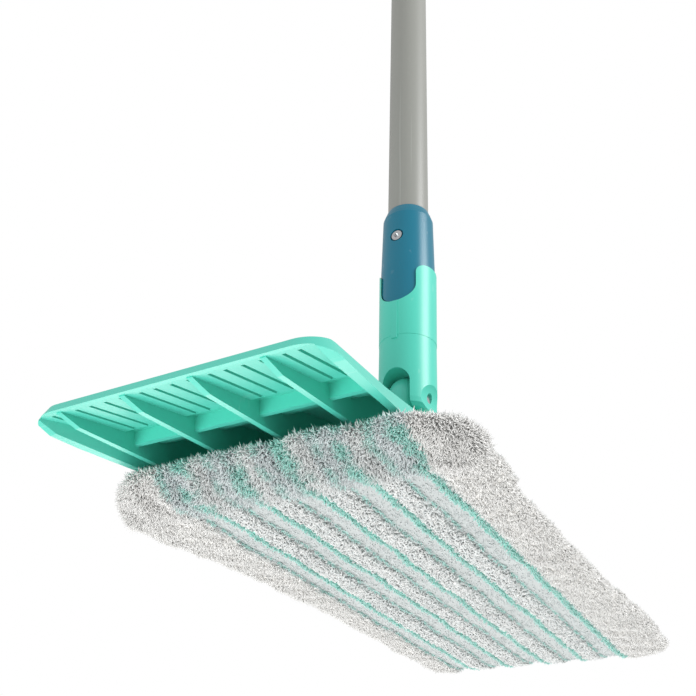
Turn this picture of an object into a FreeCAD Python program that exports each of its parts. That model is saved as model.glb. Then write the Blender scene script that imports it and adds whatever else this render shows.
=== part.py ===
"""Flat floor mop: steel handle, click-on socket, two-way joint, folding plate and microfibre pad.

Millimetres. The origin is on the floor under the handle, +Z is up the handle, X runs along the
plate (the bare, near end is -X) and Y across it. Each function returns one piece of the mop.
"""
import FreeCAD
import Part
import math
import os

V = FreeCAD.Vector

# handle
TUBE_R = 10.75
TUBE_WALL = 1.0
TUBE_BOTTOM_Z = 164.0
HANDLE_TOP_Z = 1290.0
GRIP_R = 13.2
GRIP_BOTTOM_Z = 1150.0
CAP_TOP_Z = 1324.0
EYE_R = 5.0
EYE_Z = 1311.0
EYE_WALL = 9.0

# click sleeve and its tongues
SLEEVE_LOW_R = 13.9
SLEEVE_HIGH_R = 13.2
SLEEVE_SHOULDER_Z = 195.5
SLEEVE_TOP_Z = 201.0
SLEEVE_BORE_R = 11.1
WAVE_TOP_Z = 161.5
TONGUE_R = 9.4
TONGUE_Z = 148.5
WAVE_CORNER_R = 6.0
PARTING_GAP = 0.45
SCREW_Z = 180.0
SCREW_HEAD_R = 2.9
SCREW_RECESS_R = 3.7
BUTTON_Z = 176.0
BUTTON_R = 5.0
BUTTON_PLAY = 0.25

# socket and fork
SOCKET_HIGH_R = 14.7
SOCKET_LOW_R = 14.2
SEAM_Z = 119.0
SEAM_STEP = 0.15
SOCKET_BORE_R = 11.0
SPIGOT_R = 10.9
SPIGOT_BOTTOM_Z = 113.0
BORE_BOTTOM_Z = 110.0
FORK_BOTTOM_Z = 81.0
FORK_HALF_GAP = 7.2
ARCH_Z = 93.5

# two-way joint
UPPER_PIN_Z = 88.0
LOWER_PIN_Z = 63.0
PIN_R = 2.5
PIN_PLAY = 0.05
BLOCK_HALF = 7.0
FORK_PLAY = 0.5
BLOCK_EYE_R = 8.4

# bow of the plate: both wings slope down from the hub by this angle
BOW_DEG = 4.0

# hub of the plate
HUB_HALF_X = 24.0
HUB_HALF_Y = 46.0
HINGE_X = 30.0
HINGE_Z = 42.4
HUB_LOW_Z = HINGE_Z - 2.0
HUB_TOP_Z = HINGE_Z + 4.0
EAR_INNER_X = 7.2
EAR_OUTER_X = 12.2
KNUCKLE_R = 4.2
HINGE_PIN_R = 1.5
WING_LUG_Y = (30.2, 35.8)
HUB_LUG_Y = ((24.0, 30.0), (36.0, 42.0))

# wings of the plate, measured square to the wing before it is bowed
RIB_BOTTOM_Z = HINGE_Z - 21.5
CROWN_Z = HINGE_Z + 4.0
WING_INNER_X = 36.0
WING_END_X = 177.2
WING_LOW_Y = -59.0
WING_HIGH_Y = 50.5
FLARE_X = 122.0
FLARE = 3.6
CORNER_R = 11.0
LEAN = 0.55
WALL = 2.8
SKIN = 2.4
TIP_Z = RIB_BOTTOM_Z + 2.4
SHOULDER_Z = RIB_BOTTOM_Z + 10.8
RIB_THICK = 2.2
RIB_Y = (-40.2, -13.4, 13.4, 40.2)
RIB_START_X = 174.0
RIB_FULL_X = 164.8
CROSS_RIB_X = 137.4
CROSS_RIB_RISE = 3.0
SLOT_WIDTH = 1.4
SLOT_RUNS = ((143.8, 172.3), (126.5, 135.8))
SLOT_Y = (
    44.6, 34.2, 28.2, 21.9, 15.6, 7.3, 1.5, -4.9, -11.3, -19.4, -25.3, -31.7, -38.1, -46.2, -51.6,
)

# foot pedal of the near wing's catch, and the far wing's magnets
PEDAL_Y = (17.0, 39.0)
PEDAL_PIN_X = -16.0
PEDAL_PIN_Z = HUB_TOP_Z + 4.0
CATCH_X = (-34.6, -32.2)
CATCH_HIGH_Y = 23.4
CATCH_TOP_Z = HUB_TOP_Z + 2.6
MAGNET_R = 4.0
MAGNET_Y = 12.0
MAGNET_Z = HUB_TOP_Z - 1.5

# microfibre pad
PAD_TOP_Z = 8.0
PAD_HALF_Y = 69.0
PAD_NEAR_HALF_Y = 75.0
PAD_NEAR_SOLE_X = -106.0
PAD_NEAR_TOP_X = -130.0
PAD_FAR_X = 172.0
PAD_SPLIT_X = 50.0
POCKET_INNER_X = 126.0
POCKET_CLEAR = 0.4
POCKET_CLOTH = 2.2


def box(x, y, z):
    """A box from its low and high limits on each axis."""
    return Part.makeBox(x[1] - x[0], y[1] - y[0], z[1] - z[0], V(x[0], y[0], z[0]))


def rod(r, start, end):
    """A round bar from one point to another."""
    axis = V(*end) - V(*start)
    return Part.makeCylinder(r, axis.Length, V(*start), axis)


def turned(points):
    """A solid of revolution about the handle axis; points are (radius, height)."""
    ring = [V(r, 0, z) for r, z in points]
    face = Part.Face(Part.makePolygon(ring + ring[:1]))
    return face.revolve(V(0, 0, 0), V(0, 0, 1), 360)


def prism(points, y):
    """An outline in X and Z, pushed along Y between two limits."""
    ring = [V(x, y[0], z) for x, z in points]
    face = Part.Face(Part.makePolygon(ring + ring[:1]))
    return face.extrude(V(0, y[1] - y[0], 0))


def one(shape):
    """The shape cleaned of leftover seams, as one solid where it is one."""
    clean = shape.removeSplitter()
    return clean.Solids[0] if len(clean.Solids) == 1 else clean


def mirror_x(shape):
    """The same piece on the other side of the handle."""
    return shape.mirror(V(0, 0, 0), V(1, 0, 0))


# ---------------------------------------------------------------- handle

def pole_tube():
    """Painted steel tube."""
    outer = rod(TUBE_R, (0, 0, TUBE_BOTTOM_Z), (0, 0, HANDLE_TOP_Z))
    inner = rod(TUBE_R - TUBE_WALL, (0, 0, TUBE_BOTTOM_Z - 1), (0, 0, HANDLE_TOP_Z + 1))
    screw_hole = rod(1.6, (-TUBE_R - 2, 0, SCREW_Z), (0, 0, SCREW_Z))
    button_hole = rod(BUTTON_R, (0, 0, BUTTON_Z), (TUBE_R + 2, 0, BUTTON_Z))
    return one(outer.cut(inner).cut(screw_hole).cut(button_hole))


def click_spigot():
    """Plastic core: plugs the tube and reaches down into the socket."""
    plug_r = TUBE_R - TUBE_WALL
    body = turned([
        (0, SPIGOT_BOTTOM_Z), (SPIGOT_R - 1.5, SPIGOT_BOTTOM_Z), (SPIGOT_R, SPIGOT_BOTTOM_Z + 2),
        (SPIGOT_R, TUBE_BOTTOM_Z), (plug_r, TUBE_BOTTOM_Z), (plug_r, 222), (plug_r - 2, 224), (0, 224),
    ])
    button_room = rod(BUTTON_R + BUTTON_PLAY, (1, 0, BUTTON_Z), (TUBE_R + 2, 0, BUTTON_Z))
    screw_room = rod(1.6, (-TUBE_R - 2, 0, SCREW_Z), (-1, 0, SCREW_Z))
    return one(body.cut(button_room).cut(screw_room))


def tongue_region(gap):
    """Everything above the wavy parting line, which dips into a round tongue on -X and on +X."""
    r = TONGUE_R + gap
    corner = WAVE_CORNER_R - gap
    corner_y = TONGUE_R + WAVE_CORNER_R
    corner_z = WAVE_TOP_Z - WAVE_CORNER_R
    side = 40.0
    top = 260.0
    dip = TONGUE_Z - r
    bend = corner * math.sqrt(0.5)
    edges = [Part.Arc(V(0, -r, TONGUE_Z), V(0, 0, dip), V(0, r, TONGUE_Z)).toShape()]
    left = []
    for s in (1, -1):
        foot = V(0, s * r, TONGUE_Z)
        rise = V(0, s * r, corner_z)
        middle = V(0, s * (corner_y - bend), corner_z + bend)
        crest = V(0, s * corner_y, corner_z + corner)
        reach = V(0, s * side, corner_z + corner)
        edges.append(Part.makeLine(foot, rise))
        edges.append(Part.Arc(rise, middle, crest).toShape())
        edges.append(Part.makeLine(crest, reach))
        edges.append(Part.makeLine(reach, V(0, s * side, top)))
        left.append(V(0, s * side, top))
    edges.append(Part.makeLine(left[0], left[1]))
    wire = Part.Wire(Part.__sortEdges__(edges))
    return Part.Face(wire).extrude(V(80, 0, 0)).translated(V(-40, 0, 0))


def click_sleeve():
    """Blue sleeve with two tongues, a screw recess and the button's window."""
    low_z = TONGUE_Z - TONGUE_R - 2
    outer = turned([
        (0, low_z), (SLEEVE_LOW_R, low_z), (SLEEVE_LOW_R, WAVE_TOP_Z), (SLEEVE_HIGH_R, SLEEVE_SHOULDER_Z),
        (SLEEVE_HIGH_R - 0.7, SLEEVE_SHOULDER_Z + 2.2), (TUBE_R + 0.5, SLEEVE_TOP_Z), (0, SLEEVE_TOP_Z),
    ])
    bore = turned([
        (0, low_z - 1), (SLEEVE_BORE_R, low_z - 1), (SLEEVE_BORE_R, TUBE_BOTTOM_Z),
        (TUBE_R, TUBE_BOTTOM_Z), (TUBE_R, SLEEVE_TOP_Z + 1), (0, SLEEVE_TOP_Z + 1),
    ])
    recess = rod(SCREW_RECESS_R, (-20, 0, SCREW_Z), (-TUBE_R - 0.9, 0, SCREW_Z))
    shank = rod(1.6, (-20, 0, SCREW_Z), (0, 0, SCREW_Z))
    window = rod(BUTTON_R + BUTTON_PLAY, (0, 0, BUTTON_Z), (20, 0, BUTTON_Z))
    shell = outer.cut(bore).common(tongue_region(0.0))
    return one(shell.cut(recess).cut(shank).cut(window))


def sleeve_screw():
    """Small hollow-headed screw that holds the sleeve on the tube."""
    seat_x = -TUBE_R - 0.9
    head = rod(SCREW_HEAD_R, (seat_x - 1.5, 0, SCREW_Z), (seat_x, 0, SCREW_Z))
    drive = rod(1.3, (seat_x - 2, 0, SCREW_Z), (seat_x - 0.5, 0, SCREW_Z))
    shank = rod(1.6, (seat_x, 0, SCREW_Z), (-1.5, 0, SCREW_Z))
    return one(head.cut(drive).fuse(shank))


def release_button():
    """Push button of the click coupling, behind the sleeve's window."""
    stem = rod(BUTTON_R - 0.05, (6.5, 0, BUTTON_Z), (SLEEVE_LOW_R + 1.0, 0, BUTTON_Z))
    crown = Part.makeSphere(SLEEVE_LOW_R + 0.4, V(0, 0, BUTTON_Z))
    return one(stem.common(crown))


def hand_grip():
    """Soft plastic sleeve at the top of the tube, with shallow finger grooves."""
    outline = [(TUBE_R, GRIP_BOTTOM_Z), (GRIP_R - 1.2, GRIP_BOTTOM_Z), (GRIP_R, GRIP_BOTTOM_Z + 3)]
    for n in range(6):
        z = GRIP_BOTTOM_Z + 18 + n * 16
        outline += [(GRIP_R, z), (GRIP_R - 0.8, z + 1.5), (GRIP_R - 0.8, z + 3.5), (GRIP_R, z + 5)]
    outline += [(GRIP_R, HANDLE_TOP_Z - 2), (GRIP_R - 1.0, HANDLE_TOP_Z), (TUBE_R, HANDLE_TOP_Z)]
    return one(turned(outline))


def hanging_cap():
    """Cap in the tube's end, with the eye that the mop hangs by."""
    plug = rod(TUBE_R - TUBE_WALL, (0, 0, HANDLE_TOP_Z - 22), (0, 0, HANDLE_TOP_Z))
    dome = turned([
        (0, HANDLE_TOP_Z), (GRIP_R, HANDLE_TOP_Z), (GRIP_R, HANDLE_TOP_Z + 5),
        (GRIP_R - 3, HANDLE_TOP_Z + 9), (0, HANDLE_TOP_Z + 9),
    ])
    half = EYE_WALL / 2
    tab_low = box((-GRIP_R + 1, GRIP_R - 1), (-half, half), (HANDLE_TOP_Z + 4, EYE_Z))
    tab_top = rod(GRIP_R - 1, (0, -half, EYE_Z), (0, half, EYE_Z))
    eye = rod(EYE_R, (0, -half - 9, EYE_Z), (0, half + 9, EYE_Z))
    return one(plug.fuse(dome).fuse(tab_low).fuse(tab_top).cut(eye))


# ---------------------------------------------------------------- socket and joint

def socket_shell():
    """Mint socket: a bore for the spigot above, a fork for the joint's block below."""
    outer = turned([
        (0, FORK_BOTTOM_Z), (SOCKET_LOW_R - 2.0, FORK_BOTTOM_Z), (SOCKET_LOW_R - 0.4, FORK_BOTTOM_Z + 1.6),
        (SOCKET_LOW_R, FORK_BOTTOM_Z + 4), (SOCKET_LOW_R, SEAM_Z), (SOCKET_LOW_R + SEAM_STEP, SEAM_Z),
        (SOCKET_HIGH_R, WAVE_TOP_Z), (0, WAVE_TOP_Z),
    ])
    bore = rod(SOCKET_BORE_R, (0, 0, BORE_BOTTOM_Z), (0, 0, WAVE_TOP_Z + 5))
    ridge_x = (-SOCKET_LOW_R - 0.7, -SOCKET_BORE_R - 1)
    ridge = box(ridge_x, (-1.5, 1.5), (SEAM_Z - 2, TONGUE_Z - TONGUE_R - 0.6))
    gap_low = box((-20, 20), (-FORK_HALF_GAP, FORK_HALF_GAP), (FORK_BOTTOM_Z - 1, ARCH_Z))
    gap_arch = rod(FORK_HALF_GAP, (-20, 0, ARCH_Z), (20, 0, ARCH_Z))
    body = outer.fuse(ridge).cut(bore).cut(tongue_region(PARTING_GAP)).cut(gap_low).cut(gap_arch)
    for s in (1, -1):
        body = body.cut(rod(13.0, (-20, s * 24.2, 85.5), (20, s * 24.2, 85.5)))
    return one(body.cut(rod(PIN_R, (0, -20, UPPER_PIN_Z), (0, 20, UPPER_PIN_Z))))


def upper_pin():
    """Pin across the socket's fork."""
    return rod(PIN_R, (0, -10.9, UPPER_PIN_Z), (0, 10.9, UPPER_PIN_Z))


def joint_block():
    """Block that turns on the upper pin and carries the lower one: the mop's two-way joint."""
    rise = ARCH_Z - UPPER_PIN_Z - FORK_PLAY
    steps = [BLOCK_HALF * (k / 8 - 1) for k in range(17)]
    edge = [V(rise + math.sqrt(FORK_HALF_GAP ** 2 - y ** 2), y, 0) for y in steps]
    ring = [V(0, -BLOCK_HALF, 0)] + edge + [V(0, BLOCK_HALF, 0), V(0, -BLOCK_HALF, 0)]
    head = Part.Face(Part.makePolygon(ring)).revolve(V(0, 0, 0), V(0, 1, 0), 360)
    head = head.translated(V(0, 0, UPPER_PIN_Z))
    neck = box((-6.2, 6.2), (-5.6, 5.6), (LOWER_PIN_Z, UPPER_PIN_Z - 3))
    eye = rod(BLOCK_EYE_R, (-BLOCK_HALF, 0, LOWER_PIN_Z), (BLOCK_HALF, 0, LOWER_PIN_Z))
    bore_r = PIN_R + PIN_PLAY
    body = head.fuse(neck).fuse(eye)
    body = body.cut(rod(bore_r, (0, -20, UPPER_PIN_Z), (0, 20, UPPER_PIN_Z)))
    return one(body.cut(rod(bore_r, (-20, 0, LOWER_PIN_Z), (20, 0, LOWER_PIN_Z))))


def lower_pin():
    """Pin across the hub's ears."""
    return rod(PIN_R, (-EAR_OUTER_X, 0, LOWER_PIN_Z), (EAR_OUTER_X, 0, LOWER_PIN_Z))


# ---------------------------------------------------------------- hub

def hub_saddle():
    """Middle of the plate: ears for the joint, knuckles for both wings, seats for pedal and magnets."""
    plate = box((-HUB_HALF_X, HUB_HALF_X), (-HUB_HALF_Y, HUB_HALF_Y), (HUB_LOW_Z, HUB_TOP_Z))
    plate = plate.makeFillet(8.0, [e for e in plate.Edges if e.BoundBox.ZLength > 5])
    body = plate
    for s in (1, -1):
        inner, outer = sorted((s * EAR_INNER_X, s * EAR_OUTER_X))
        ear = box((inner, outer), (-13, 13), (HUB_TOP_Z - 1, HUB_TOP_Z + 5))
        ear = ear.fuse(box((inner, outer), (-8, 8), (HUB_TOP_Z, LOWER_PIN_Z)))
        ear = ear.fuse(rod(8.0, (inner, 0, LOWER_PIN_Z), (outer, 0, LOWER_PIN_Z)))
        body = body.fuse(ear)
        for low, high in HUB_LUG_Y:
            for side in (1, -1):
                span = sorted((side * low, side * high))
                x = s * HINGE_X
                arm = box(sorted((s * (HUB_HALF_X - 2), x)), span, (HUB_LOW_Z, HUB_TOP_Z))
                body = body.fuse(arm.fuse(rod(KNUCKLE_R, (x, span[0], HINGE_Z), (x, span[1], HINGE_Z))))
    for y in (PEDAL_Y[0] - 3.2, PEDAL_Y[1] + 0.4):
        seat = box((PEDAL_PIN_X - 3.5, PEDAL_PIN_X + 3.5), (y, y + 2.8), (HUB_TOP_Z - 1, PEDAL_PIN_Z + 3))
        body = body.fuse(seat)
    for y in (-MAGNET_Y, MAGNET_Y):
        body = body.fuse(box((HUB_HALF_X - 1, 29.0), (y - 5.5, y + 5.5), (HUB_LOW_Z, MAGNET_Z + 4.5)))
        body = body.cut(rod(MAGNET_R, (26.4, y, MAGNET_Z), (30, y, MAGNET_Z)))
    body = body.cut(rod(PIN_R, (-20, 0, LOWER_PIN_Z), (20, 0, LOWER_PIN_Z)))
    body = body.cut(rod(1.5, (PEDAL_PIN_X, 0, PEDAL_PIN_Z), (PEDAL_PIN_X, 60, PEDAL_PIN_Z)))
    for x in (-HINGE_X, HINGE_X):
        body = body.cut(rod(HINGE_PIN_R, (x, -60, HINGE_Z), (x, 60, HINGE_Z)))
    return one(body)


def wing_pin(x):
    """The two short steel pins of one wing's hinge."""
    low, high = HUB_LUG_Y[0][0], HUB_LUG_Y[1][1]
    right = rod(HINGE_PIN_R, (x, low, HINGE_Z), (x, high, HINGE_Z))
    left = rod(HINGE_PIN_R, (x, -high, HINGE_Z), (x, -low, HINGE_Z))
    return Part.makeCompound([left, right])


def hub_magnets():
    """Disc magnets in the hub's far edge."""
    discs = [rod(MAGNET_R, (26.4, y, MAGNET_Z), (29.0, y, MAGNET_Z)) for y in (-MAGNET_Y, MAGNET_Y)]
    return Part.makeCompound(discs)


def lock_pedal():
    """Foot pedal: pressing its pad lifts the hook at its other end over the near wing's catch."""
    outline = [
        (-41.2, 4.0), (-41.2, 7.2), (-10.0, 8.0), (4.5, 8.4), (4.5, 6.2), (-9.0, 5.4), (-12.0, 1.9),
        (-20.0, 1.9), (-23.0, 4.2), (-37.6, 4.2), (-37.6, 2.3), (-40.0, 1.6),
    ]
    arm = prism([(x, HUB_TOP_Z + z) for x, z in outline], PEDAL_Y)
    return one(arm.cut(rod(1.55, (PEDAL_PIN_X, 0, PEDAL_PIN_Z), (PEDAL_PIN_X, 60, PEDAL_PIN_Z))))


def pedal_pin():
    """Steel pin of the foot pedal."""
    start = (PEDAL_PIN_X, PEDAL_Y[0] - 3.2, PEDAL_PIN_Z)
    return rod(1.5, start, (PEDAL_PIN_X, PEDAL_Y[1] + 3.2, PEDAL_PIN_Z))


def pedal_spring():
    """Coil spring under the pedal's pad, as its outer shape."""
    y = sum(PEDAL_Y) / 2
    tube = rod(3.0, (-3, y, HUB_TOP_Z), (-3, y, HUB_TOP_Z + 5.4))
    return one(tube.cut(rod(2.2, (-3, y, HUB_TOP_Z - 1), (-3, y, HUB_TOP_Z + 8))))


# ---------------------------------------------------------------- wings

def wing_outline(inset, z, reach):
    """Outline of a far wing at one height: sides that flare to rounded corners; reach lengthens it."""
    x0 = WING_INNER_X
    x1 = WING_END_X - inset + reach
    low = WING_LOW_Y + inset - FLARE
    high = WING_HIGH_Y - inset + FLARE
    r = max(CORNER_R - inset, 1.5)
    bend = r * math.sqrt(0.5)
    lines = [
        Part.makeLine(V(x0, low + FLARE, z), V(FLARE_X, low + FLARE, z)),
        Part.makeLine(V(FLARE_X, low + FLARE, z), V(x1 - r, low, z)),
        Part.Arc(V(x1 - r, low, z), V(x1 - r + bend, low + r - bend, z), V(x1, low + r, z)).toShape(),
        Part.makeLine(V(x1, low + r, z), V(x1, high - r, z)),
        Part.Arc(V(x1, high - r, z), V(x1 - r + bend, high - r + bend, z), V(x1 - r, high, z)).toShape(),
        Part.makeLine(V(x1 - r, high, z), V(FLARE_X, high - FLARE, z)),
        Part.makeLine(V(FLARE_X, high - FLARE, z), V(x0, high - FLARE, z)),
        Part.makeLine(V(x0, high - FLARE, z), V(x0, low + FLARE, z)),
    ]
    return Part.Wire(Part.__sortEdges__(lines))


def wing_block(inset, low_z, high_z, lean=LEAN, reach=0.0):
    """The wing's outer form between two heights; its walls lean in as they rise."""
    wires = [wing_outline(inset + lean * (z - RIB_BOTTOM_Z), z, reach) for z in (low_z, high_z)]
    return Part.makeLoft(wires, True, True)


def crown(raised):
    """Outline in Y and Z of the wing's bevelled top, pushed along X; raised grows it."""
    ring = [
        V(0, WING_LOW_Y - 12, RIB_BOTTOM_Z - 40), V(0, WING_HIGH_Y + 12, RIB_BOTTOM_Z - 40),
        V(0, WING_HIGH_Y + 12, SHOULDER_Z - 23 + raised), V(0, WING_HIGH_Y - 6, SHOULDER_Z + raised),
        V(0, WING_HIGH_Y - 16, CROWN_Z - 1 + raised), V(0, WING_LOW_Y + 24, CROWN_Z - 1 + raised),
        V(0, WING_LOW_Y + 6, SHOULDER_Z + raised), V(0, WING_LOW_Y - 12, SHOULDER_Z - 13 + raised),
    ]
    return Part.Face(Part.makePolygon(ring + ring[:1])).extrude(V(220, 0, 0))


def under_skin(drop):
    """Space under the wing's top skin, as an outline in X and Z; drop lowers the skin's underside."""
    low = RIB_BOTTOM_Z
    profile = [
        (190, TIP_Z), (174, TIP_Z), (143.6, low + 6.3), (143.2, low + 8.2), (124.5, low + 8.4),
        (121.5, low + 9.4), (120, low + 13), (60, CROWN_Z - SKIN - 1), (0, CROWN_Z - SKIN),
    ]
    return [(0, -10), (190, -10)] + [(x, z - drop) for x, z in profile]


def over_skin():
    """Outline in X and Z of the wing's top surface and everything below it."""
    low = RIB_BOTTOM_Z
    return [
        (0, -10), (190, -10), (190, low + 4), (175.7, low + 5.4), (139, low + 10.6), (122, low + 12),
        (116, low + 17), (60, CROWN_Z - 0.6), (0, CROWN_Z),
    ]


def above_rim():
    """Everything above the wing's lower edge, which lifts towards the tip as the ribs do."""
    return prism([
        (0, RIB_BOTTOM_Z), (RIB_FULL_X, RIB_BOTTOM_Z), (WING_END_X, TIP_Z), (200, TIP_Z),
        (200, 200), (0, 200),
    ], (-100, 100))


def bare_wing():
    """Far wing without hinge lugs: top skin, leaning side walls, ribs and drain slots."""
    wide = (-100, 100)
    high = CROWN_Z + 6
    form = wing_block(0.0, RIB_BOTTOM_Z, high).common(prism(over_skin(), wide)).common(crown(0.0))
    form = form.common(above_rim())
    hollow = wing_block(WALL, RIB_BOTTOM_Z - 1, high, reach=30.0).common(prism(under_skin(0.0), wide))
    body = form.cut(hollow.common(crown(-SKIN)))
    inside = prism(under_skin(-SKIN / 2), wide).common(wing_block(0.8, RIB_BOTTOM_Z - 1, high))
    inside = inside.common(crown(-SKIN / 2))
    rib_form = [
        (WING_INNER_X + 2, CROWN_Z), (WING_INNER_X + 2, RIB_BOTTOM_Z + 6), (WING_INNER_X + 9, RIB_BOTTOM_Z),
        (RIB_FULL_X, RIB_BOTTOM_Z), (RIB_START_X, TIP_Z - 0.3), (RIB_START_X, CROWN_Z),
    ]
    for y in RIB_Y:
        rib = prism(rib_form, (y - RIB_THICK / 2, y + RIB_THICK / 2))
        body = body.fuse(rib.common(inside))
    cross_x = (CROSS_RIB_X - RIB_THICK / 2, CROSS_RIB_X + RIB_THICK / 2)
    cross = box(cross_x, wide, (RIB_BOTTOM_Z + CROSS_RIB_RISE, CROWN_Z))
    body = body.fuse(cross.common(inside))
    end_wall = box((WING_INNER_X, WING_INNER_X + 2.4), wide, (RIB_BOTTOM_Z + 5, CROWN_Z))
    body = body.fuse(end_wall.common(inside))
    for y in SLOT_Y:
        for run in SLOT_RUNS:
            body = body.cut(box(run, (y - SLOT_WIDTH / 2, y + SLOT_WIDTH / 2), (RIB_BOTTOM_Z - 1, high)))
    return body


def wing_lugs():
    """Hinge lugs of a far wing."""
    parts = []
    for side in (1, -1):
        span = sorted((side * WING_LUG_Y[0], side * WING_LUG_Y[1]))
        knuckle = rod(KNUCKLE_R, (HINGE_X, span[0], HINGE_Z), (HINGE_X, span[1], HINGE_Z))
        web = box((HINGE_X, WING_INNER_X + 2), span, (HINGE_Z - KNUCKLE_R, CROWN_Z - 2.0))
        parts.append(knuckle.fuse(web))
    return parts[0].fuse(parts[1])


def bowed(shape):
    """A far wing's piece, sloped down from the hinge to its rest angle."""
    turned_down = shape.copy()
    turned_down.rotate(V(HINGE_X, 0, HINGE_Z), V(0, 1, 0), BOW_DEG)
    return turned_down


def finished_wing(extra):
    """A far wing with its lugs, one extra feature and the hinge bore, at its rest angle."""
    body = bare_wing().fuse(wing_lugs()).fuse(extra)
    body = body.cut(rod(HINGE_PIN_R + PIN_PLAY, (HINGE_X, -60, HINGE_Z), (HINGE_X, 60, HINGE_Z)))
    return bowed(one(body))


def near_wing():
    """Bare wing at -X, with the catch that the pedal's hook holds."""
    span = (PEDAL_Y[0] + 0.5, CATCH_HIGH_Y)
    foot = box((WING_INNER_X - 3.8, WING_INNER_X + 2), span, (CROWN_Z - 2.6, CROWN_Z - 0.8))
    lip = box((-CATCH_X[1], -CATCH_X[0]), span, (CROWN_Z - 2.6, CATCH_TOP_Z))
    return mirror_x(finished_wing(foot.fuse(lip)))


def keeper_seat():
    """Bosses for the steel keepers on the far wing's inner end."""
    seats = [box((32.4, WING_INNER_X + 2), (y - 5.5, y + 5.5), (MAGNET_Z - 3, CROWN_Z + 2.2))
             for y in (-MAGNET_Y, MAGNET_Y)]
    return seats[0].fuse(seats[1])


def keeper_plates(play):
    """Two plates in the keeper seats; play widens them into the seats' pockets."""
    size = 4.0 + play
    plates = [box((32.0 - play, 34.0), (y - size, y + size), (MAGNET_Z - 2, MAGNET_Z + 2.6))
              for y in (-MAGNET_Y, MAGNET_Y)]
    return bowed(Part.makeCompound(plates))


def far_wing():
    """Wing at +X, with seats for the steel keepers."""
    return one(finished_wing(keeper_seat()).cut(keeper_plates(0.0)))


def magnet_keepers():
    """Steel keepers that the hub's magnets pull on."""
    return keeper_plates(0.0)


# ---------------------------------------------------------------- pad

def pad_near():
    """Near part of the pad, with the thick roll of pile at its end."""
    half = PAD_NEAR_HALF_Y
    return one(prism([
        (-PAD_SPLIT_X, 0), (PAD_NEAR_SOLE_X, 0), (PAD_NEAR_SOLE_X - 13, 2.4), (PAD_NEAR_TOP_X, 6.0),
        (PAD_NEAR_TOP_X, PAD_TOP_Z), (-PAD_SPLIT_X, PAD_TOP_Z),
    ], (-half, half)))


def pad_middle():
    """Middle of the pad, which bends when the wings fold."""
    inner = PAD_SPLIT_X - 0.3
    return box((-inner, inner), (-PAD_HALF_Y, PAD_HALF_Y), (0, PAD_TOP_Z))


def pad_far():
    """Far part of the pad, with its thin hemmed end."""
    return one(prism([
        (PAD_SPLIT_X, 0), (PAD_FAR_X - 5, 0), (PAD_FAR_X, 3), (PAD_FAR_X, PAD_TOP_Z),
        (PAD_SPLIT_X, PAD_TOP_Z),
    ], (-PAD_HALF_Y, PAD_HALF_Y)))


def pad_pocket():
    """Cloth pocket on the pad's far end, over the far wing's tip."""
    gap = POCKET_CLEAR
    cloth = gap + POCKET_CLOTH
    wide = (-100, 100)
    high = CROWN_Z + 12
    low = RIB_BOTTOM_Z - 16
    roof = prism([(x, z + cloth) for x, z in over_skin()], wide).common(crown(cloth))
    room = prism([(x, z + gap) for x, z in over_skin()], wide).common(crown(gap))
    outer = wing_block(-cloth, RIB_BOTTOM_Z, high).common(roof)
    outer = outer.fuse(wing_block(-cloth, low, RIB_BOTTOM_Z, lean=0.0))
    inner = wing_block(-gap, RIB_BOTTOM_Z, high).common(room)
    inner = inner.fuse(wing_block(-gap, low - 1, RIB_BOTTOM_Z, lean=0.0))
    shell = bowed(outer.cut(inner))
    span = box((POCKET_INNER_X, PAD_FAR_X + 8), (-90, 90), (PAD_TOP_Z + 0.05, high))
    return one(shell.common(span))


PIECES = {
    "pole_tube": pole_tube, "click_spigot": click_spigot, "click_sleeve": click_sleeve,
    "sleeve_screw": sleeve_screw, "release_button": release_button, "hand_grip": hand_grip,
    "hanging_cap": hanging_cap, "socket_shell": socket_shell, "upper_pin": upper_pin,
    "joint_block": joint_block, "lower_pin": lower_pin, "hub_saddle": hub_saddle,
    "near_wing_pins": lambda: wing_pin(-HINGE_X), "far_wing_pins": lambda: wing_pin(HINGE_X),
    "hub_magnets": hub_magnets, "lock_pedal": lock_pedal, "pedal_pin": pedal_pin,
    "pedal_spring": pedal_spring, "near_wing": near_wing, "far_wing": far_wing,
    "magnet_keepers": magnet_keepers, "pad_near": pad_near, "pad_middle": pad_middle,
    "pad_far": pad_far, "pad_pocket": pad_pocket,
}

os.makedirs("parts", exist_ok=True)
for name, make in PIECES.items():
    shape = make()
    state = "valid" if shape.isValid() else "INVALID"
    print(name, state, len(shape.Solids), "solids", round(shape.Volume), "mm3")
    shape.exportStep(f"parts/{name}.step")
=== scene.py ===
"""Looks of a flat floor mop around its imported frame. Metres, +Z up the handle, X along the plate."""
import math

import bpy
import numpy as np
from mathutils import Matrix, Vector


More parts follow.
